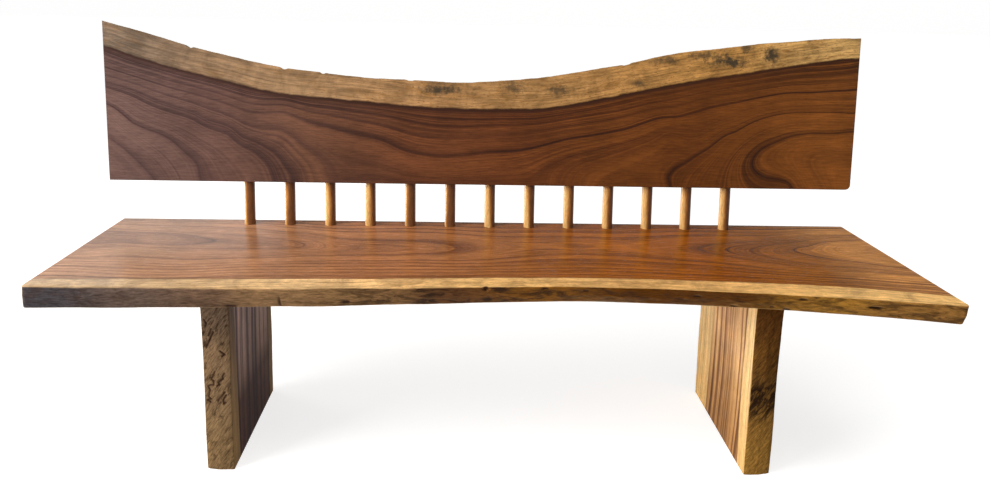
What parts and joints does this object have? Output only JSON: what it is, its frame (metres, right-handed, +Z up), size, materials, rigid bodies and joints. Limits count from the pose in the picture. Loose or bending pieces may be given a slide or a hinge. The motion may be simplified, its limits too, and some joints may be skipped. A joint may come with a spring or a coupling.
{
  "type": "live edge bench",
  "caption": "Bench of live edge wood slabs: a wavy-fronted seat on two splayed slab legs, with a raked slab backrest carried above the seat on a row of round spindles.",
  "frame": {"origin": "on the floor, under the middle of the bench's length and depth", "axes": "+X along the seat, to the right of someone facing the bench; +Y from the front edge to the back; +Z up"},
  "size_m": [1.86, 0.6404, 0.9338],
  "materials": {
    "slab_wood": "satin lacquer",
    "spindle_wood": "satin lacquer",
    "tenon_wood": "bare wood, glued in"
  },
  "bodies": {
    "root": {"seat_slab": "slab_wood", "backrest_slab": "slab_wood", "left_leg": "slab_wood", "right_leg": "slab_wood", "spindle_01": "spindle_wood", "spindle_02": "spindle_wood", "spindle_03": "spindle_wood", "spindle_04": "spindle_wood", "spindle_05": "spindle_wood", "spindle_06": "spindle_wood", "spindle_07": "spindle_wood", "spindle_08": "spindle_wood", "spindle_09": "spindle_wood", "spindle_10": "spindle_wood", "spindle_11": "spindle_wood", "spindle_12": "spindle_wood", "spindle_13": "spindle_wood", "left_leg_tenon_1": "tenon_wood", "left_leg_tenon_2": "tenon_wood", "left_leg_tenon_3": "tenon_wood", "right_leg_tenon_1": "tenon_wood", "right_leg_tenon_2": "tenon_wood", "right_leg_tenon_3": "tenon_wood"}
  },
  "joints": []
}
